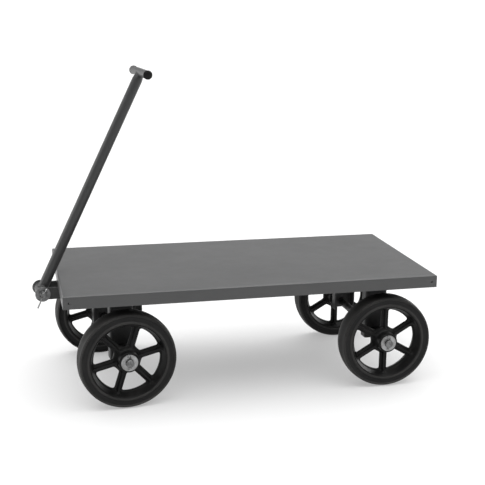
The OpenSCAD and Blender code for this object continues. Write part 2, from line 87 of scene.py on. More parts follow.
class Graph:
    """A material whose nodes are made in short calls."""

    def __init__(self, name):
        self.material = bpy.data.materials.new(name)
        self.material.use_nodes = True
        self.tree = self.material.node_tree
        self.tree.nodes.clear()
        self.shader = self.tree.nodes.new("ShaderNodeBsdfPrincipled")
        out = self.tree.nodes.new("ShaderNodeOutputMaterial")
        self.tree.links.new(self.shader.outputs[0], out.inputs["Surface"])
        self.coords = self.tree.nodes.new("ShaderNodeTexCoord").outputs["Object"]

    def put(self, socket, value):
        if isinstance(value, bpy.types.NodeSocket):
            self.tree.links.new(value, socket)
        elif hasattr(socket, "default_value"):
            if isinstance(value, (tuple, list)) and len(value) == 3 and socket.type == "RGBA":
                value = (*value, 1.0)
            socket.default_value = value

    def set(self, **values):
        for key, value in values.items():
            label = key.replace("_", " ").title().replace("Ior", "IOR")
            self.put(self.shader.inputs[label], value)

    def scaled(self, scale, turn=(0, 0, 0)):
        node = self.tree.nodes.new("ShaderNodeMapping")
        self.put(node.inputs["Vector"], self.coords)
        node.inputs["Scale"].default_value = scale
        node.inputs["Rotation"].default_value = turn
        return node.outputs[0]

    def noise(self, scale, detail, rough, vector=None):
        node = self.tree.nodes.new("ShaderNodeTexNoise")
        self.put(node.inputs["Vector"], vector or self.coords)
        node.inputs["Scale"].default_value = scale
        node.inputs["Detail"].default_value = detail
        node.inputs["Roughness"].default_value = rough
        return node.outputs["Fac"]

    def cells(self, scale):
        node = self.tree.nodes.new("ShaderNodeTexVoronoi")
        self.put(node.inputs["Vector"], self.coords)
        node.inputs["Scale"].default_value = scale
        return node.outputs["Distance"]

    def remap(self, value, low, high, to_low=0.0, to_high=1.0):
        node = self.tree.nodes.new("ShaderNodeMapRange")
        node.interpolation_type = "SMOOTHSTEP"
        for i, v in enumerate((value, low, high, to_low, to_high)):
            self.put(node.inputs[i], v)
        return node.outputs[0]

    def math(self, kind, a, b=0.0):
        node = self.tree.nodes.new("ShaderNodeMath")
        node.operation = kind
        self.put(node.inputs[0], a)
        self.put(node.inputs[1], b)
        return node.outputs[0]

    def mix(self, factor, a, b):
        node = self.tree.nodes.new("ShaderNodeMix")
        node.data_type = "RGBA"
        self.put(node.inputs["Factor"], factor)
        self.put(node.inputs[6], a)
        self.put(node.inputs[7], b)
        return node.outputs[2]

    def bump(self, height, distance, strength=1.0, under=None):
        node = self.tree.nodes.new("ShaderNodeBump")
        node.inputs["Strength"].default_value = strength
        node.inputs["Distance"].default_value = distance
        self.put(node.inputs["Height"], height)
        if under:
            self.put(node.inputs["Normal"], under)
        return node.outputs[0]

    def edges(self, radius):
        """1 on edges within the radius, 0 on the faces between them."""
        bevel = self.tree.nodes.new("ShaderNodeBevel")
        bevel.samples = 6
        bevel.inputs["Radius"].default_value = radius
        dot = self.tree.nodes.new("ShaderNodeVectorMath")
        dot.operation = "DOT_PRODUCT"
        plain = self.tree.nodes.new("ShaderNodeNewGeometry").outputs["Normal"]
        self.put(dot.inputs[0], bevel.outputs[0])
        self.put(dot.inputs[1], plain)
        return self.remap(dot.outputs["Value"], 0.98, 0.80)

    def radius(self):
        """Distance from the object's own Z axis."""
        split = self.tree.nodes.new("ShaderNodeSeparateXYZ")
        self.put(split.inputs[0], self.coords)
        square = [self.math("POWER", split.outputs[i], 2.0) for i in (0, 1)]
        return self.math("SQRT", self.math("ADD", *square))


def grey(level, tint=0.0):
    return (level * (1 - tint), level, level * (1 + tint))


def paint(name, level, rough, peel, edge_wear_and_highlight=0.22, gloss=0.4):
    """Sprayed enamel: orange peel, faint mottling, rubbed patches, thinner and lighter on edges, the lightness
    there partly wear and partly a painted highlight.
    """
    g = Graph(name)
    broad = g.noise(2.6, 3, 0.55)
    haze = g.noise(11.0, 6, 0.66)
    rubbed_and_painted_highlight = g.remap(g.noise(5.0, 5, 0.6, g.scaled((0.5, 1.6, 1.0), (0, 0, 0.3))), 0.52, 0.72)
    tone = g.mix(g.remap(broad, 0.3, 0.7), grey(level * 0.94, 0.012), grey(level * 1.05, 0.008))
    tone = g.mix(g.math("MULTIPLY", rubbed_and_painted_highlight, 0.3), tone, grey(level * 1.22, 0.01))
    # Lighter edges: partly thin, worn paint and partly a painted highlight along them.
    worn = g.math("MULTIPLY", g.edges(0.0014), g.remap(g.noise(90, 4, 0.7), 0.35, 0.65, 0.35, 1.0))
    tone = g.mix(g.math("MULTIPLY", worn, edge_wear_and_highlight), tone, grey(level * 2.4, 0.005))
    dull = g.remap(haze, 0.25, 0.75, rough - 0.02, rough + 0.04)
    dull = g.math("ADD", dull, g.math("MULTIPLY", rubbed_and_painted_highlight, -0.012))
    skin = g.bump(g.noise(230, 2, 0.5), 0.00035, peel)
    skin = g.bump(g.noise(1500, 2, 0.5), 0.00006, 0.35, skin)
    g.set(base_color=tone, roughness=dull, normal=skin, specular_ior_level=gloss)
    return g.material


def casting(name):
    """Black enamel over sand-cast iron."""
    g = Graph(name)
    grain = g.noise(620, 3, 0.62)
    lumps = g.noise(95, 3, 0.5)
    dust = g.noise(26, 5, 0.65)
    tone = g.mix(g.remap(dust, 0.38, 0.72), grey(0.006), grey(0.013, -0.02))
    worn = g.math("MULTIPLY", g.edges(0.0014), g.remap(g.noise(120, 4, 0.7), 0.4, 0.65))
    tone = g.mix(g.math("MULTIPLY", worn, 0.4), tone, grey(0.05))
    skin = g.bump(grain, 0.00030, 0.75)
    skin = g.bump(lumps, 0.0012, 0.22, skin)
    g.set(base_color=tone, roughness=g.remap(dust, 0.25, 0.75, 0.34, 0.52), normal=skin,
          specular_ior_level=0.14)
    return g.material


def rubber(name):
    """Moulded rubber: satin sides, a duller tread with dust in it, painted shade in the dish of each side and a
    painted highlight on the beads and shoulder round the dish.
    """
    g = Graph(name)
    bloom = g.noise(18, 6, 0.68)
    specks = g.cells(420)
    r = g.radius()
    tread = g.remap(r, TREAD_R - 0.0024, TREAD_R)
    # Painted shade and painted highlight: the dish in each side is painted darker, the beads and shoulder outside
    # it lighter.
    dish = g.math("MULTIPLY", g.remap(r, DISH_IN * MM, (DISH_IN + 2.2) * MM),
                  g.remap(r, (DISH_OUT - 2.2) * MM, DISH_OUT * MM, 1.0, 0.0))
    painted_shade_in_dish = g.mix(g.remap(bloom, 0.35, 0.75), grey(0.007), grey(0.014, -0.015))
    rubbed_and_painted_highlight = g.mix(g.remap(bloom, 0.3, 0.7), grey(0.020, -0.02), grey(0.031, -0.03))
    worn = g.mix(g.remap(bloom, 0.3, 0.7), grey(0.012, -0.02), grey(0.021, -0.03))
    tone = g.mix(g.math("MULTIPLY", tread, 0.9), g.mix(dish, rubbed_and_painted_highlight, painted_shade_in_dish), worn)
    rings = g.tree.nodes.new("ShaderNodeTexWave")
    rings.wave_type = "RINGS"
    rings.rings_direction = "Z"
    g.put(rings.inputs["Vector"], g.coords)
    rings.inputs["Scale"].default_value = 190
    rings.inputs["Distortion"].default_value = 0.6
    skin = g.bump(rings.outputs["Fac"], 0.00012, 0.22)
    skin = g.bump(g.noise(1100, 3, 0.6), 0.00016, 0.45, skin)
    skin = g.bump(specks, 0.0002, 0.12, skin)
    dull = g.remap(bloom, 0.25, 0.8, 0.46, 0.64)
    g.set(base_color=tone, roughness=g.math("ADD", dull, g.math("MULTIPLY", tread, 0.14)), normal=skin,
          specular_ior_level=0.2)
    return g.material


def metal(name, level, rough, grain, warm=0.0):
    """Plated or machined steel with fine tool marks and handling marks."""
    g = Graph(name)
    cloud = g.noise(62, 6, 0.7)
    tone = g.mix(g.remap(cloud, 0.32, 0.66), grey(level * 0.66, -warm), grey(level * 1.08, 0.012))
    marks = g.noise(900, 3, 0.6, g.scaled((1, 1, 0.12)))
    skin = g.bump(marks, 0.00012, grain)
    g.set(base_color=tone, roughness=g.remap(cloud, 0.2, 0.8, rough + 0.1, rough - 0.07), normal=skin,
          metallic=1.0)
    return g.material


def plastic(name):
    g = Graph(name)
    g.set(base_color=g.mix(g.noise(60, 4, 0.6), grey(0.005), grey(0.010)),
          roughness=g.remap(g.noise(85, 4, 0.6), 0.3, 0.7, 0.36, 0.5),
          normal=g.bump(g.noise(1900, 2, 0.5), 0.00008, 0.5), specular_ior_level=0.14)
    return g.material


# ---------------------------------------------------------------- mesh helpers

def new_piece(name, verts, faces, material, body, slot, matrix=None, smooth_angle=None):
    """verts in millimetres in the matrix's frame; faces as index rows."""
    mesh = bpy.data.meshes.new(name)
    mesh.from_pydata((np.asarray(verts) * MM).tolist(), [], [list(map(int, f)) for f in faces])
    mesh.validate()
    mesh.polygons.foreach_set("use_smooth", [True] * len(mesh.polygons))
    if smooth_angle:
        mesh.set_sharp_from_angle(angle=math.radians(smooth_angle))
    mesh.materials.append(material)
    obj = bpy.data.objects.new(name, mesh)
    scene.collection.objects.link(obj)
    if matrix is not None:
        obj.matrix_world = matrix
    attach(obj, body)
    return obj


def grid_faces(rows, cols, wrap_rows=False, wrap_cols=True, offset=0):
    """Quads between rows of points, each row cols long."""
    i = np.arange(rows if wrap_rows else rows - 1)[:, None]
    j = np.arange(cols if wrap_cols else cols - 1)[None, :]
    a = i * cols + j
    b = i * cols + (j + 1) % cols
    c = ((i + 1) % rows) * cols + (j + 1) % cols
    d = ((i + 1) % rows) * cols + j
    return (np.stack([a, b, c, d], -1).reshape(-1, 4) + offset).tolist()


def frame_matrix(origin, x, z):
    """Frame with its origin in metres, Z along z and X as near x as it can be."""
    z = Vector(z).normalized()
    y = z.cross(Vector(x)).normalized()
    x = y.cross(z)
    turn = Matrix((x, y, z)).transposed().to_4x4()
    return Matrix.Translation(origin) @ turn


def soft_min(a, b, k):
    h = np.clip(0.5 + 0.5 * (b - a) / k, 0, 1)
    return b * (1 - h) + a * h - k * h * (1 - h)


def soft_max(a, b, k):
    return -soft_min(-a, -b, k)


def surface_net(field, low, high, step):
    """Quad mesh of field = 0, its points drawn back onto the exact surface."""
    axes = [np.arange(a, b + step, step) for a, b in zip(low, high)]
    value = field(np.stack(np.meshgrid(*axes, indexing="ij"), -1))
    inside = value < 0
    cells = tuple(np.array(value.shape) - 1)
    total = np.zeros(cells + (3,))
    count = np.zeros(cells)
    quads = []
    for a in range(3):
        b, c = (a + 1) % 3, (a + 2) % 3
        near = tuple(slice(0, -1) if i == a else slice(None) for i in range(3))
        far = tuple(slice(1, None) if i == a else slice(None) for i in range(3))
        hit = np.argwhere(inside[near] != inside[far])
        v0, v1 = value[near][tuple(hit.T)], value[far][tuple(hit.T)]
        point = hit.astype(float)
        point[:, a] += v0 / (v0 - v1)
        around = []
        for db, dc in ((0, 0), (-1, 0), (-1, -1), (0, -1)):
            cell = hit.copy()
            cell[:, b] += db
            cell[:, c] += dc
            np.add.at(total, tuple(cell.T), point)
            np.add.at(count, tuple(cell.T), 1)
            around.append(np.ravel_multi_index(tuple(cell.T), cells))
        quad = np.stack(around, 1)
        quad[v0 > 0] = quad[v0 > 0][:, ::-1]
        quads.append(quad)
    quads = np.concatenate(quads)
    used = np.flatnonzero(count.ravel())
    place = np.full(count.size, -1)
    place[used] = np.arange(len(used))
    points = total.reshape(-1, 3)[used] / count.ravel()[used, None] * step + np.array(low)
    nudge, flattest, longest = 0.04, 0.05, 0.6
    for _ in range(3):
        here = field(points)
        slope = np.stack([(field(points + e) - field(points - e)) / (2 * nudge)
                          for e in np.eye(3) * nudge], -1)
        steepness = np.maximum((slope ** 2).sum(-1), flattest)
        points -= np.clip(here / steepness, -longest, longest)[:, None] * slope
    return points, place[quads]


def sweep(points, section, up_way, closed=False, scale=None):
    """Carries a 2-D section (rows of side, up) along a path, with its up as near up_way as it can be."""
    p = np.asarray(points, float)
    n = len(p)
    if closed:
        tangent = np.roll(p, -1, 0) - np.roll(p, 1, 0)
    else:
        tangent = np.gradient(p, axis=0)
    tangent /= np.linalg.norm(tangent, axis=1)[:, None]
    up = np.broadcast_to(np.asarray(up_way, float), (n, 3))
    side = np.cross(tangent, up)
    side /= np.linalg.norm(side, axis=1)[:, None]
    up = np.cross(side, tangent)
    sec = np.asarray(section, float)
    size = np.ones(n) if scale is None else np.asarray(scale, float)
    verts = (p[:, None] + side[:, None] * (sec[None, :, :1] * size[:, None, None])
             + up[:, None] * (sec[None, :, 1:] * size[:, None, None])).reshape(-1, 3)
    m = len(sec)
    faces = grid_faces(n, m, wrap_rows=closed)
    if not closed:
        faces += [list(range(m))[::-1], [(n - 1) * m + i for i in range(m)]]
    return verts, faces


def resample(points, spacing, closed=False):
    """Evenly spaced points along a line, and how far along each one is."""
    p = np.asarray(points, float)
    if closed:
        p = np.vstack([p, p[:1]])
    run = np.concatenate([[0], np.cumsum(np.linalg.norm(np.diff(p, axis=0), axis=1))])
    n = max(4, int(round(run[-1] / spacing)))
    at = np.linspace(0, run[-1], n + 1)
    if closed:
        at = at[:-1]
    return np.stack([np.interp(at, run, p[:, i]) for i in range(3)], 1), at


def arc(cx, cy, r, start, end, n):
    t = np.radians(np.linspace(start, end, n + 1))
    return np.stack([cx + r * np.cos(t), cy + r * np.sin(t)], 1)


def merged(parts):
    """One vertex array and face list from several."""
    verts, faces, base = [], [], 0
    for v, f in parts:
        verts.append(v)
        faces += [[i + base for i in row] for row in f]
        base += len(v)
    return np.concatenate(verts), faces


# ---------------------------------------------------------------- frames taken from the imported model

steer_at = Vector(joints["steer"]["pos_m"])
front_y = -Vector(joints["handle_swing"]["axis"])
front_x = front_y.cross(Vector((0, 0, 1)))
GEAR = frame_matrix((steer_at.x, steer_at.y, 0), front_x, (0, 0, 1))
rear_hub = Vector(joints["rear_left_spin"]["pos_m"])
REAR = Matrix.Translation((rear_hub.x, 0, 0))
pivot_at = Vector(joints["handle_swing"]["pos_m"])
grip_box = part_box("t_grip")
shank_way = ((grip_box[0] + grip_box[1]) / 2 - pivot_at).normalized()
HANDLE = frame_matrix(pivot_at, front_y.cross(shank_way), shank_way)

# Side and spoke angle, in degrees, of each wheel
WHEELS = {"front_left": (-1, 13), "front_right": (1, 13), "rear_left": (-1, 30), "rear_right": (1, 30)}

TREAD_R = rear_hub.z    # metres; every other size below is in millimetres

# Tyre: half width, seat on the rim, inner and outer edge of the dish in its side
TYRE_HALF = 35.5
SEAT_R = 121.8
DISH_IN = 129.2
DISH_OUT = 146.2

# Cast wheel: rim, windows, spokes, hub
RIM_R = 119.0
RIM_HALF = 33.5
WINDOW_R = 106.8
SPOKE_HALF = 12.6
PLATE_R = 41.0
BOSS_R = 44.5
HUB_R = 32.5
HUB_HALF = 42.2
BORE_R = 19.1


def wheel_matrix(which):
    side = WHEELS[which][0]
    joint = joints[which + "_spin"]
    outboard = Vector(joint["axis"]) * side
    forward = Vector(joint["axis"]).cross(Vector((0, 0, 1)))
    return frame_matrix(joint["pos_m"], forward, outboard)


# ---------------------------------------------------------------- wheels

def wheel_field(p):
    """Signed distance, roughly, to the cast wheel: axis along Z, spokes every 60 degrees from X.

    The last number of each soft_min and soft_max is the fillet or round between the two shapes.
    """
    x, y, z = p[..., 0], p[..., 1], np.abs(p[..., 2])
    r = np.hypot(x, y)
    turn = np.arctan2(y, x)
    sixth = math.pi / 3
    fold = turn - sixth * np.round(turn / sixth)
    across = np.abs(r * np.sin(fold))
    along = r * np.cos(fold)
    plan = soft_min(soft_min(across - SPOKE_HALF, WINDOW_R - r, 10.0), r - PLATE_R, 12.0)
    web_half, web_draft, edge = 5.0, 0.08, 2.4
    web = soft_max(soft_max(plan + web_draft * z, z - web_half, edge), r - WINDOW_R - 5, 1.0)
    rib_half, rib_draft, rib_low, rib_high = 4.9, 0.09, 13.2, 18.0
    waist_r, waist_reach, rib_rise = 72.0, 32.0, 2.6
    rib_top = np.minimum(rib_low + rib_rise * ((r - waist_r) / waist_reach) ** 2, rib_high)
    rib = soft_max(soft_max(across - rib_half + rib_draft * z, z - rib_top, edge), r - RIM_R, 1.0)
    rib = np.maximum(rib, -along)
    slope = WINDOW_R + 1 + (RIM_R - WINDOW_R - 1) * (z / RIM_HALF) ** 1.15
    rim = soft_max(soft_max(slope - r, z - RIM_HALF, 1.6), r - SEAT_R, 0.8)
    hub_draft, boss_slope, boss_half = 0.035, 0.62, 19.0
    hub = soft_max(r - HUB_R - hub_draft * (HUB_HALF - z), z - HUB_HALF, 2.0)
    boss = soft_max(r - BOSS_R + boss_slope * np.maximum(z - web_half, 0.0), z - boss_half, 4.0)
    body = soft_min(web, rib, 5.0)
    body = soft_min(body, rim, 6.0)
    body = soft_min(body, soft_min(hub, boss, 5.0), 5.0)
    return soft_max(body, BORE_R - r, 0.8)


def wheel_mesh():
    margin, step = 3, 1.5
    reach = SEAT_R + margin
    depth = HUB_HALF + margin
    return surface_net(wheel_field, (-reach, -reach, -depth), (reach, reach, depth), step)


# The tyre's side from the shoulder to its seat: radius, depth below the side's outermost plane
TYRE_SIDE = ((148.6, 0.2), (147.0, 0.7), (145.4, 2.6), (143.8, 4.2), (142.0, 4.8), (137.0, 5.0), (133.0, 4.9),
             (131.4, 4.3), (129.6, 2.8), (127.8, 1.3), (126.2, 0.5), (124.6, 0.3), (123.0, 0.8), (122.4, 2.4))


def tyre_mesh():
    """Solid tyre: crowned tread with the mould's seam, grooved shoulders, dished sides, raised beads."""
    crown_r, shoulder = 150.0, 8.0
    seam_high, seam_wide = 0.30, 0.75
    groove_at, groove_wide, groove_deep = 0.62, 0.15, 1.1    # the first two in radians round the shoulder
    blend = 1.1
    crown_c = TREAD_R / MM - crown_r
    z_join = (TYRE_HALF - shoulder) / (1 - shoulder / crown_r)
    lean = math.asin(z_join / crown_r)
    shoulder_at = (crown_c + (crown_r - shoulder) * math.cos(lean), TYRE_HALF - shoulder)
    profile = []
    for z in np.linspace(0, z_join, 22)[:-1]:
        seam = seam_high * math.exp(-(z / seam_wide) ** 2)
        profile.append((crown_c + math.sqrt(crown_r ** 2 - z * z) + seam, z))
    for a in np.linspace(lean, math.pi / 2 - 0.2, 20):
        reach = shoulder - groove_deep * math.exp(-((a - groove_at) / groove_wide) ** 2)
        profile.append((shoulder_at[0] + reach * math.cos(a), shoulder_at[1] + reach * math.sin(a)))
    side_r = np.array([r for r, depth in TYRE_SIDE])[::-1]
    side_z = np.array([depth for r, depth in TYRE_SIDE])[::-1]
    for r in np.linspace(TYRE_SIDE[0][0], TYRE_SIDE[-1][0], 34):
        near = np.exp(-((side_r - r) / blend) ** 2)
        profile.append((r, TYRE_HALF - float((near * side_z).sum() / near.sum())))
    profile.append((SEAT_R, RIM_HALF - 1.5))
    mirrored = [(r, -z) for r, z in profile[:0:-1]]
    full = np.array(mirrored + profile)
    steps = 220
    turn = np.linspace(0, 2 * math.pi, steps, endpoint=False)
    verts = np.stack([full[:, None, 0] * np.cos(turn), full[:, None, 0] * np.sin(turn),
                      np.repeat(full[:, 1:], steps, 1)], -1).reshape(-1, 3)
    return verts, grid_faces(len(full), steps, wrap_rows=True)


def make_wheels(mats):
    """Each casting is turned to its spoke angle in its own points, so that its box stays tight."""
    casting_verts, casting_faces = wheel_mesh()
    tyre_shape = tyre_mesh()
    for which, (side, phase) in WHEELS.items():
        matrix = wheel_matrix(which)
        a = math.radians(-side * phase)
        turn = np.array([[math.cos(a), math.sin(a), 0], [-math.sin(a), math.cos(a), 0], [0, 0, 1]])
        centre = new_piece(which + "_casting", np.asarray(casting_verts) @ turn, casting_faces,
                           mats["wheel_iron"], which + "_roller", "wheel_iron", matrix)
        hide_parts(which + "_wheel")
        tyre = new_piece(which + "_solid_tyre", *tyre_shape, mats["tyre_rubber"],
                         which + "_roller", "tyre_rubber", matrix)
        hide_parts(which + "_tyre")


# ---------------------------------------------------------------- platform

SHEET_T = 2.7
BEND_R = 4.5            # outside radius of the sheet's bends
TIE_HOLE_R = 4.0
TIE_HOLE_IN = 19        # in from the end of the deck
TIE_HOLE_UP = 19.05     # up from the flange's lower edge


def ring_points(hx, hy, rc, nx, ny, nc):
    """Points round a rectangle with corner radius rc."""
    x = np.linspace(-hx + rc, hx - rc, nx + 1)
    y = np.linspace(-hy + rc, hy - rc, ny + 1)
    rows = [np.stack([x, np.full_like(x, -hy)], 1)]
    rows.append(arc(hx - rc, -hy + rc, rc, -90, 0, nc)[1:-1])
    rows.append(np.stack([np.full_like(y, hx), y], 1))
    rows.append(arc(hx - rc, hy - rc, rc, 0, 90, nc)[1:-1])
    rows.append(np.stack([x[::-1], np.full_like(x, hy)], 1))
    rows.append(arc(-hx + rc, hy - rc, rc, 90, 180, nc)[1:-1])
    rows.append(np.stack([np.full_like(y, -hx), y[::-1]], 1))
    rows.append(arc(-hx + rc, -hy + rc, rc, 180, 270, nc)[1:-1])
    return np.concatenate(rows)


def deck_wave(x, y, hx, hy):
    """Slight unevenness of the formed sheet, none at its bends."""
    hold = np.clip(1 - (x / hx) ** 6, 0, 1) * np.clip(1 - (y / hy) ** 6, 0, 1)
    wave = (0.22 * np.sin(x / 171.0 + 0.7) * np.cos(y / 118.0 - 0.4)
            + 0.13 * np.sin(x / 83.0 - y / 97.0 + 1.9) + 0.10 * np.cos(y / 61.0 + x / 240.0))
    return hold * wave - 0.25 * hold


def make_deck(mats):
    """The folded sheet: rings of points from its top over the bends, down the flanges and back up inside."""
    low, high = (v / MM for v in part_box("deck_sheet"))
    hx, hy = (high.x - low.x) / 2, (high.y - low.y) / 2
    cx, cy = (high.x + low.x) / 2, (high.y + low.y) / 2
    top, foot = high.z, low.z
    lip, corner = 0.35, 2.2
    nx, ny, nc = 152, 76, 5
    rings = []
    for a in np.radians(np.linspace(0, 90, 8)):
        out = BEND_R * (1 - math.sin(a))
        rings.append((hx - out, hy - out, max(0.6, corner - out), top - BEND_R + BEND_R * math.cos(a)))
    for z in np.linspace(top - BEND_R, foot + lip, 6)[1:]:
        rings.append((hx, hy, corner, z))
    rings.append((hx - lip, hy - lip, corner - lip, foot))
    rings.append((hx - SHEET_T + lip, hy - SHEET_T + lip, 1.0, foot))
    inner = BEND_R - SHEET_T
    for z in np.linspace(foot + lip, top - BEND_R, 6):
        rings.append((hx - SHEET_T, hy - SHEET_T, 0.8, z))
    for a in np.radians(np.linspace(90, 0, 6))[1:]:
        out = inner * (1 - math.sin(a))
        level = top - SHEET_T - inner + inner * math.cos(a)
        rings.append((hx - SHEET_T - out, hy - SHEET_T - out, 0.5, level))
    rows = []
    for x, y, rc, z in rings:
        flat = ring_points(x, y, rc, nx, ny, nc)
        rows.append(np.column_stack([flat, np.full(len(flat), z)]))
    count = len(rows[0])
    verts = [np.concatenate(rows)]
    faces = [f[::-1] for f in grid_faces(len(rings), count)]
    base = len(rings) * count
    for ring, up in ((0, True), (len(rings) - 1, False)):
        x_half, y_half, rc, z = rings[ring]
        gx = np.linspace(-x_half + rc, x_half - rc, nx + 1)
        gy = np.linspace(-y_half + rc, y_half - rc, ny + 1)
        grid = np.stack(np.meshgrid(gx, gy, indexing="ij"), -1).reshape(-1, 2)
        verts.append(np.column_stack([grid, z + deck_wave(grid[:, 0], grid[:, 1], hx, hy)]))

        def at(i, j, base=base):
            return base + i * (ny + 1) + j

        start = ring * count
        sides = [[at(i, 0) for i in range(nx + 1)], [at(nx, j) for j in range(ny + 1)],
                 [at(i, ny) for i in range(nx, -1, -1)], [at(0, j) for j in range(ny, -1, -1)]]
        new = []
        cursor = start
        for side in sides:
            n = len(side)
            for i in range(n - 1):
                new.append([cursor + i, cursor + i + 1, side[i + 1], side[i]])
            for i in range(nc):
                a = cursor + n - 1 + i
                b = a + 1 if a + 1 < start + count else start
                new.append([a, b, side[-1]])
            cursor += n - 1 + nc
        new += [[at(i, j), at(i + 1, j), at(i + 1, j + 1), at(i, j + 1)]
                for i in range(nx) for j in range(ny)]
        faces += new if up else [f[::-1] for f in new]
        base += len(grid)
    verts = np.concatenate(verts) + np.array((cx, cy, 0))
    deck = new_piece("deck", verts, faces, mats["deck_paint"], "platform", "deck_paint")
    hole_z = foot + TIE_HOLE_UP
    cut_holes(deck, [(cx - hx + TIE_HOLE_IN, hole_z), (cx + hx - TIE_HOLE_IN, hole_z)], TIE_HOLE_R, hy + 20)
    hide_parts("deck_sheet")


def cut_holes(obj, places, r, reach):
    """Round holes along Y through both long edges."""
    parts = []
    sides = 40
    for x, z in places:
        ring = arc(x, z, r, 0, 360, sides)[:-1]
        ends = [np.column_stack([ring[:, 0], np.full(sides, s * reach), ring[:, 1]]) for s in (-1, 1)]
        faces = grid_faces(2, sides) + [list(range(sides))[::-1], list(range(sides, 2 * sides))]
        parts.append((np.concatenate(ends), faces))
    v, f = merged(parts)
    mesh = bpy.data.meshes.new("cutter")
    mesh.from_pydata((v * MM).tolist(), [], f)
    work = bmesh.new()
    work.from_mesh(mesh)
    bmesh.ops.recalc_face_normals(work, faces=work.faces)
    work.to_mesh(mesh)
    work.free()
    cutter = bpy.data.objects.new("cutter", mesh)
    scene.collection.objects.link(cutter)
    mod = obj.modifiers.new("holes", "BOOLEAN")
    mod.operation = "DIFFERENCE"
    mod.solver = "EXACT"
    mod.object = cutter
    bpy.context.view_layer.update()
    done = bpy.data.meshes.new_from_object(obj.evaluated_get(bpy.context.evaluated_depsgraph_get()))
    obj.modifiers.remove(mod)
    old = obj.data
    obj.data = done
    bpy.data.meshes.remove(old)
    bpy.data.objects.remove(cutter)
    bpy.data.meshes.remove(mesh)
    done.polygons.foreach_set("use_smooth", [True] * len(done.polygons))
    done.set_sharp_from_angle(angle=math.radians(40))


# ---------------------------------------------------------------- split pins

# Wire's diameter, grip, length of the legs past it, and how far they are splayed in degrees
KINGPIN_COTTER = (4.2, 36.5, 11, 35)
HUB_COTTER = (3.8, 29, 9, 38)
PIVOT_COTTER = (3.8, 29, 31, 5)

# Handle's pivot, out from the truck's middle: nut's seat and thickness, cotter's height in it and turn
PIVOT_WASHER_T = 3.2
PIVOT_SEAT = 42.5 + PIVOT_WASHER_T
PIVOT_NUT_T = 14
SLOT_HEIGHT = 0.82
PIVOT_COTTER_TURN = -65


def cotter_mesh(d, grip, tail, splay):
    """Half-round wire doubled into a pin along X: eye at +X, legs spread in the XY plane at -X."""
    a = math.radians(splay)
    bend_r = 1.3 * d
    gap = 0.04 * d
    eye = 1.05 * d
    bend_end = -grip / 2 - bend_r * math.sin(a)
    leg = [(-grip / 2 + t * (grip - 1.5), gap) for t in np.linspace(0, 1, 5)]
    bend = [(-grip / 2 - bend_r * math.sin(k), gap + bend_r * (1 - math.cos(k)))
            for k in np.linspace(a, 0, 8)[:-1]]
    rest = max(tail - bend_r * a, 1.0)
    tip = [(bend_end - rest * t * math.cos(a), gap + bend_r * (1 - math.cos(a)) + rest * t * math.sin(a))
           for t in (1.0, 0.66, 0.33)]
    upper = tip + bend + leg
    centre = grip / 2 + eye
    loop = [(centre + eye * math.cos(k), eye * math.sin(k))
            for k in np.linspace(math.pi - 0.28, -math.pi + 0.28, 34)]
    lower = [(x, -y) for x, y in upper[::-1]]
    line = np.array([(x, y, 0.0) for x, y in upper + loop + lower])
    line, _ = resample(line, 0.28 * d)
    side = [(0.0, -0.5)] + [(-0.5 * math.cos(k), 0.5 * math.sin(k)) for k in np.linspace(-1.35, 1.35, 9)]
    side += [(0.0, 0.5)]
    section = np.array(side) * d
    return sweep(line, section, (0, 0, 1))


def make_cotters(mats):
    half_wire = HUB_COTTER[0] / 2
    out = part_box("rear_cotter_pins")[1].y / MM - half_wire
    axle_z = rear_hub.z / MM
    for node, base in (("front_cotter_pins", GEAR), ("rear_cotter_pins", REAR)):
        parts = []
        for side in (-1, 1):
            place = (Matrix.Translation((0, side * out, axle_z)) @ Matrix.Rotation(-math.pi / 2, 4, "Y")
                     @ Matrix.Rotation(math.pi / 2, 4, "X"))
            v, f = cotter_mesh(*HUB_COTTER)
            parts.append((v @ np.array(place.to_3x3()).T + np.array(place.translation), f))
        v, f = merged(parts)
        piece = new_piece(node + "_wire", v, f, mats["zinc"], body_of[node], "zinc", base, 40)
        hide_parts(node)
    low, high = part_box("kingpin_cotter")
    middle = Matrix.Translation((steer_at.x, 0, (low.z + high.z) / 2))
    piece = new_piece("kingpin_cotter_wire", *cotter_mesh(*KINGPIN_COTTER), mats["zinc"],
                      "platform", "zinc", middle, 40)
    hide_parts("kingpin_cotter")
    along = PIVOT_SEAT + SLOT_HEIGHT * PIVOT_NUT_T
    local = GEAR.inverted() @ pivot_at
    place = (GEAR @ Matrix.Translation((local.x, -along * MM, local.z))
             @ Matrix.Rotation(math.radians(PIVOT_COTTER_TURN), 4, "Y"))
    piece = new_piece("pivot_cotter_wire", *cotter_mesh(*PIVOT_COTTER), mats["zinc"],
                      "front_gear", "zinc", place, 40)
    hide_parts("pivot_cotter")


# ---------------------------------------------------------------- welds

# Sizes that the welds follow: the CAD's own where nothing else is said
BRACKET_Y = 180.0       # outer face of a bracket's web
BRACKET_FACE = 174.4    # where the axle's weld sits, just inside the web
BRACKET_HALF = 38.1
BRACKET_DEPTH = 38.1
BRACKET_CORNER = 8.0
AXLE_R = 12.9           # its weld's radius, a little outside the axle
LUG_Y = 33.0
LUG_T = 9.5
LUG_RUN = (-73, 59)     # the lugs' welds, front to back
BOLSTER_T = 10
RACE_R = 107.0
STIFFENER_Y = 235
STIFFENER_HALF = 13
SHANK_R = 16.7
SWAGE_R = 12.7
SWAGE_LEN = 26.0
BARREL_R = 19.0
GRIP_R = 13.35


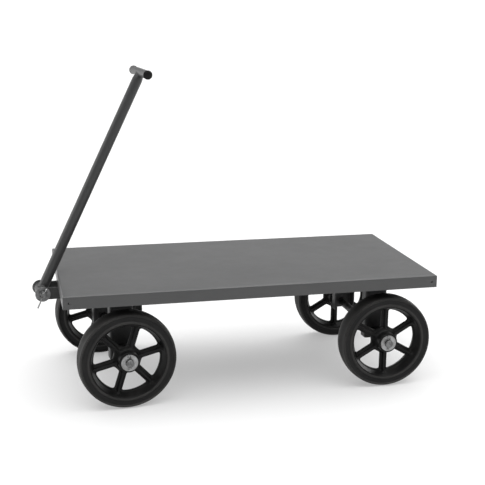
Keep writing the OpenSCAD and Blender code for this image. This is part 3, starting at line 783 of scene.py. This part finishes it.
def bead(points, r, closed=False, seed=0):
    """A run of weld laid in overlapping ripples, centred on the joint's line."""
    pitch = 2.6
    line, at = resample(points, pitch / 5, closed)
    frac = (at / pitch) % 1.0
    wobble = 0.05 * np.sin(at / 5.3 + seed) + 0.04 * np.sin(at / 2.1 + 2 * seed)
    size = r * (0.90 + 0.14 * np.sqrt(np.clip(1 - (2 * frac - 1) ** 2, 0, 1)) + wobble)
    if not closed:
        left = np.minimum(at, at[-1] - at) / (1.3 * r)
        size = size * np.sqrt(np.clip(left, 0.03, 1.0))
    tangent = np.gradient(line, axis=0)
    tangent /= np.linalg.norm(tangent, axis=1)[:, None]
    ref = np.array((0.3, 0.2, 0.93))
    if np.abs(tangent @ ref).max() > 0.9:
        ref = np.array((0.93, 0.3, 0.2))
    turn = np.linspace(0, 2 * math.pi, 10, endpoint=False)
    section = np.stack([np.cos(turn), np.sin(turn)], 1)
    return sweep(line, section, ref, closed=closed, scale=size)


def channel_path(side, z):
    """Round the outside of an upright bracket at height z."""
    half, y, r = BRACKET_HALF, BRACKET_Y, BRACKET_CORNER
    tip = y - BRACKET_DEPTH + 3
    flat = [(-half, tip)] + list(arc(-half + r, y - r, r, 180, 90, 6))
    flat += list(arc(half - r, y - r, r, 90, 0, 6)) + [(half, tip)]
    return [(px, side * py, z) for px, py in flat]


def circle_path(x, y, z, r, axis, n=48):
    t = np.radians(np.linspace(0, 360, n))[:-1]
    a, b = r * np.cos(t), r * np.sin(t)
    if axis == "y":
        return np.column_stack([x + a, np.full_like(a, y), z + b])
    return np.column_stack([x + a, y + b, np.full_like(a, z)])


def make_gear_welds(mats):
    """Brackets to bolsters and axles, bolster to the sheet, and on the front the lugs and lower race."""
    low, high = (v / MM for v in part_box("rear_bolster"))
    joint_z, sheet_z = low.z, high.z
    axle_z = rear_hub.z / MM
    rear = []
    gear = []
    for side in (-1, 1):
        rear.append(bead(channel_path(side, joint_z), 3.4, seed=side))
        gear.append(bead(channel_path(side, joint_z), 3.4, seed=side + 5))
        for where, seed in ((rear, 3), (gear, 8)):
            ring = circle_path(0, side * BRACKET_FACE, axle_z, AXLE_R, "y")
            where.append(bead(ring, 2.6, True, seed + side))
    half, run = (high.x - low.x) / 2, 20
    z = sheet_z - 0.9
    for end in (-1, 1):
        for y in (-150, -50, 50, 150):
            rear.append(bead([(end * half, y - run, z), (end * half, y + run, z)], 2.6, seed=y))
    v, f = merged(rear)
    new_piece("rear_welds", v, f, mats["frame_paint"], "platform", "frame_paint", REAR)
    for side in (-1, 1):
        for y in (LUG_Y, LUG_Y + LUG_T):
            gear.append(bead([(x, side * y, joint_z) for x in LUG_RUN], 2.8, seed=y))
    gear.append(bead(circle_path(0, 0, joint_z + BOLSTER_T, RACE_R, "z", 120), 2.2, True, 2))
    v, f = merged(gear)
    new_piece("front_gear_welds", v, f, mats["frame_paint"], "front_gear", "frame_paint", GEAR)


def make_platform_welds(mats):
    """Inside the corners of the sheet, along the stiffeners, round the king plate and the upper race."""
    under = []
    deck_low, deck_high = (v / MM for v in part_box("deck_sheet"))
    sheet_z = (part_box("rear_bolster")[1] / MM).z
    x0, x1 = deck_low.x + SHEET_T, deck_high.x - SHEET_T
    y0, y1 = deck_low.y + SHEET_T, deck_high.y - SHEET_T
    for x in (x0, x1):
        for y in (y0, y1):
            under.append(bead([(x, y, deck_low.z + 2), (x, y, deck_high.z - 5)], 2.2, seed=x + y))
    z = sheet_z - 1.2
    stitch, pitch = 28, 150
    for middle in (-STIFFENER_Y, STIFFENER_Y):
        for y in (middle - STIFFENER_HALF, middle + STIFFENER_HALF):
            for x in np.arange(x0 + 60, x1 - 40, pitch):
                under.append(bead([(x, y, z), (x + stitch, y, z)], 2.4, seed=x))
    plate_low, plate_high = (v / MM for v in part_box("king_plate"))
    run = 22
    for y in (plate_low.y, plate_high.y):
        for x in (-60, 60):
            cx = (plate_low.x + plate_high.x) / 2 + x
            under.append(bead([(cx - run, y, z), (cx + run, y, z)], 2.9, seed=x + y))
    for x in (plate_low.x, plate_high.x):
        for y in (-140, -45, 45, 140):
            under.append(bead([(x, y - run, z), (x, y + run, z)], 2.9, seed=x + y))
    race_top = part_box("upper_race")[1].z / MM
    under.append(bead(circle_path(steer_at.x / MM, 0, race_top, RACE_R, "z", 120), 2.0, True, 1))
    v, f = merged(under)
    new_piece("platform_welds", v, f, mats["frame_paint"], "platform", "frame_paint")


def make_handle_welds(mats):
    """Where the shank meets the barrel, and where its narrowed head meets the T grip."""
    turn = np.radians(np.linspace(0, 360, 90, endpoint=False))
    x, y = SHANK_R * np.cos(turn), SHANK_R * np.sin(turn)
    foot = np.column_stack([x, y, np.sqrt(BARREL_R ** 2 - x ** 2)])
    reach = ((grip_box[0] + grip_box[1]) / 2 - pivot_at).length / MM
    below = np.full_like(turn, GRIP_R)
    for _ in range(6):
        r = SWAGE_R + (SHANK_R - SWAGE_R) * below / SWAGE_LEN
        x, y = r * np.cos(turn), r * np.sin(turn)
        below = np.sqrt(np.clip(GRIP_R ** 2 - x ** 2, 0, None))
    head = np.column_stack([x, y, reach - below])
    v, f = merged([bead(foot, 2.8, True, 4), bead(head, 2.3, True, 9)])
    new_piece("handle_welds", v, f, mats["handle_paint"], "tow_handle", "handle_paint", HANDLE)


# ---------------------------------------------------------------- CAD nodes that stay

LOOKS = {
    "frame_paint": ["deck_stiffeners", "deck_cross_members", "king_plate", "rear_bolster",
                    "rear_left_riser", "rear_right_riser", "front_bolster", "front_left_riser",
                    "front_right_riser", "left_handle_lug", "right_handle_lug"],
    "handle_paint": ["pivot_barrel", "handle_shank", "t_grip"],
    "race_steel": ["upper_race", "lower_race"],
    "bearing_steel": ["race_balls", "front_left_bearing", "front_right_bearing",
                      "rear_left_bearing", "rear_right_bearing"],
    "zinc": ["kingpin", "kingpin_washer", "kingpin_nut", "rear_hub_washers", "front_hub_washers"],
    "dull_zinc": ["rear_axle", "front_axle", "pivot_bolt", "pivot_washers", "pivot_nut"],
    "wheel_iron": ["rear_spacers", "front_spacers"],
    "plug_plastic": ["grip_plugs"],
}
BEVELS = {"race_balls": 0, "front_left_bearing": 0, "front_right_bearing": 0, "rear_left_bearing": 0,
          "rear_right_bearing": 0, "king_plate": 0.8, "front_bolster": 1.0, "left_handle_lug": 0.9,
          "right_handle_lug": 0.9, "grip_plugs": 0.35, "pivot_nut": 0.35, "kingpin_nut": 0.4}


def finish_cad(obj, material, width):
    """Joins the imported faces, softens the cut edges and gives the node its material."""
    mesh = obj.data
    mesh.materials.clear()
    mesh.materials.append(material)
    if "custom_normal" in mesh.attributes:
        mesh.attributes.remove(mesh.attributes["custom_normal"])
    mesh.polygons.foreach_set("use_smooth", [True] * len(mesh.polygons))
    weld = obj.modifiers.new("weld", "WELD")
    weld.merge_threshold = 0.00001
    flat = obj.modifiers.new("flat", "DECIMATE")
    flat.decimate_type = "DISSOLVE"
    flat.angle_limit = math.radians(0.6)
    if width:
        bevel = obj.modifiers.new("bevel", "BEVEL")
        bevel.width = width * MM
        bevel.segments = 2
        bevel.limit_method = "ANGLE"
        bevel.angle_limit = math.radians(32)
        bevel.harden_normals = False
        bevel.use_clamp_overlap = True
    smooth = obj.modifiers.new("normals", "WEIGHTED_NORMAL")
    smooth.keep_sharp = True
    smooth.weight = 80


def dress_cad(mats):
    for slot, names in LOOKS.items():
        for name in names:
            finish_cad(nodes[name], mats[slot], BEVELS.get(name, 0.6))


# ---------------------------------------------------------------- studio

def area_light(name, place, target, size, power):
    data = bpy.data.lights.new(name, "AREA")
    data.shape = "RECTANGLE"
    data.size, data.size_y = size
    data.energy = power
    light = bpy.data.objects.new(name, data)
    scene.collection.objects.link(light)
    light.location = place
    light.rotation_mode = "QUATERNION"
    light.rotation_quaternion = (Vector(target) - Vector(place)).to_track_quat("-Z", "Y")


# Radiance of the surroundings: overhead, at the horizon behind and in front, and between the two
OVERHEAD = 3.5
HORIZON_BACK = 1.12
HORIZON_FRONT = 0.36
BETWEEN = 0.26


def make_world():
    """Soft light mostly from overhead, a pale band round the horizon, dimmer between."""
    world = bpy.data.worlds.new("studio")
    scene.world = world
    world.use_nodes = True
    tree = world.node_tree
    split = tree.nodes.new("ShaderNodeSeparateXYZ")
    tree.links.new(tree.nodes.new("ShaderNodeTexCoord").outputs["Generated"], split.inputs[0])
    ramps = []
    for horizon in (HORIZON_FRONT, HORIZON_BACK):
        ramp = tree.nodes.new("ShaderNodeValToRGB")
        tree.links.new(split.outputs["Z"], ramp.inputs[0])
        stops = [(0.0, horizon), (0.13, horizon), (0.32, BETWEEN), (0.62, BETWEEN), (0.82, OVERHEAD)]
        for height, _ in stops[2:]:
            ramp.color_ramp.elements.new(height)
        for element, (height, level) in zip(ramp.color_ramp.elements, stops):
            element.position = height
            element.color = (*[level / OVERHEAD] * 3, 1)
        ramps.append(ramp)
    side = tree.nodes.new("ShaderNodeMapRange")
    side.inputs["From Min"].default_value = -0.5
    side.inputs["From Max"].default_value = 0.3
    tree.links.new(split.outputs["Y"], side.inputs["Value"])
    mix = tree.nodes.new("ShaderNodeMix")
    mix.data_type = "RGBA"
    tree.links.new(side.outputs[0], mix.inputs["Factor"])
    tree.links.new(ramps[0].outputs[0], mix.inputs[6])
    tree.links.new(ramps[1].outputs[0], mix.inputs[7])
    background = tree.nodes["Background"]
    tree.links.new(mix.outputs[2], background.inputs["Color"])
    background.inputs["Strength"].default_value = OVERHEAD


def make_studio():
    """A pale floor that lifts its own shadows a little, the surroundings, and three soft lights."""
    g = Graph("studio_floor")
    g.set(base_color=g.mix(g.noise(1.3, 3, 0.5), grey(0.39), grey(0.41)),
          roughness=g.remap(g.noise(6, 3, 0.5), 0.2, 0.8, 0.6, 0.75), specular_ior_level=0.2,
          emission_color=grey(1.0), emission_strength=0.38)
    mesh = bpy.data.meshes.new("studio_floor")
    half = 60.0
    corners = [(-half, -half, 0), (half, -half, 0), (half, half, 0), (-half, half, 0)]
    mesh.from_pydata(corners, [], [(0, 1, 2, 3)])
    mesh.materials.append(g.material)
    floor = bpy.data.objects.new("studio_floor", mesh)
    scene.collection.objects.link(floor)
    make_world()
    area_light("left_soft", (-3.6, 0.6, 1.3), (0, 0, 0.3), (1.8, 2.2), 30)
    area_light("right_edge", (2.9, 1.6, 1.1), (0.2, 0, 0.3), (1.2, 1.6), 18)
    area_light("right_fill", (3.0, -1.3, 0.7), (0.5, -0.3, 0.15), (0.9, 0.9), 9)
    scene.view_settings.view_transform = "Standard"
    scene.view_settings.look = "None"


# ---------------------------------------------------------------- build

place_camera()
mats = {
    "deck_paint": paint("deck_paint", 0.053, 0.37, 0.08, gloss=0.5),
    "frame_paint": paint("frame_paint", 0.033, 0.44, 0.14, gloss=0.26),
    "handle_paint": paint("handle_paint", 0.036, 0.38, 0.10),
    "zinc": metal("zinc", 0.34, 0.42, 0.30, 0.02),
    "dull_zinc": metal("dull_zinc", 0.19, 0.46, 0.35, 0.01),
    "bearing_steel": metal("bearing_steel", 0.42, 0.24, 0.15, 0.01),
    "race_steel": metal("race_steel", 0.24, 0.42, 0.4, 0.02),
    "wheel_iron": casting("wheel_iron"),
    "tyre_rubber": rubber("tyre_rubber"),
    "plug_plastic": plastic("plug_plastic"),
}
make_wheels(mats)
make_deck(mats)
make_cotters(mats)
make_gear_welds(mats)
make_platform_welds(mats)
make_handle_welds(mats)
dress_cad(mats)
make_studio()
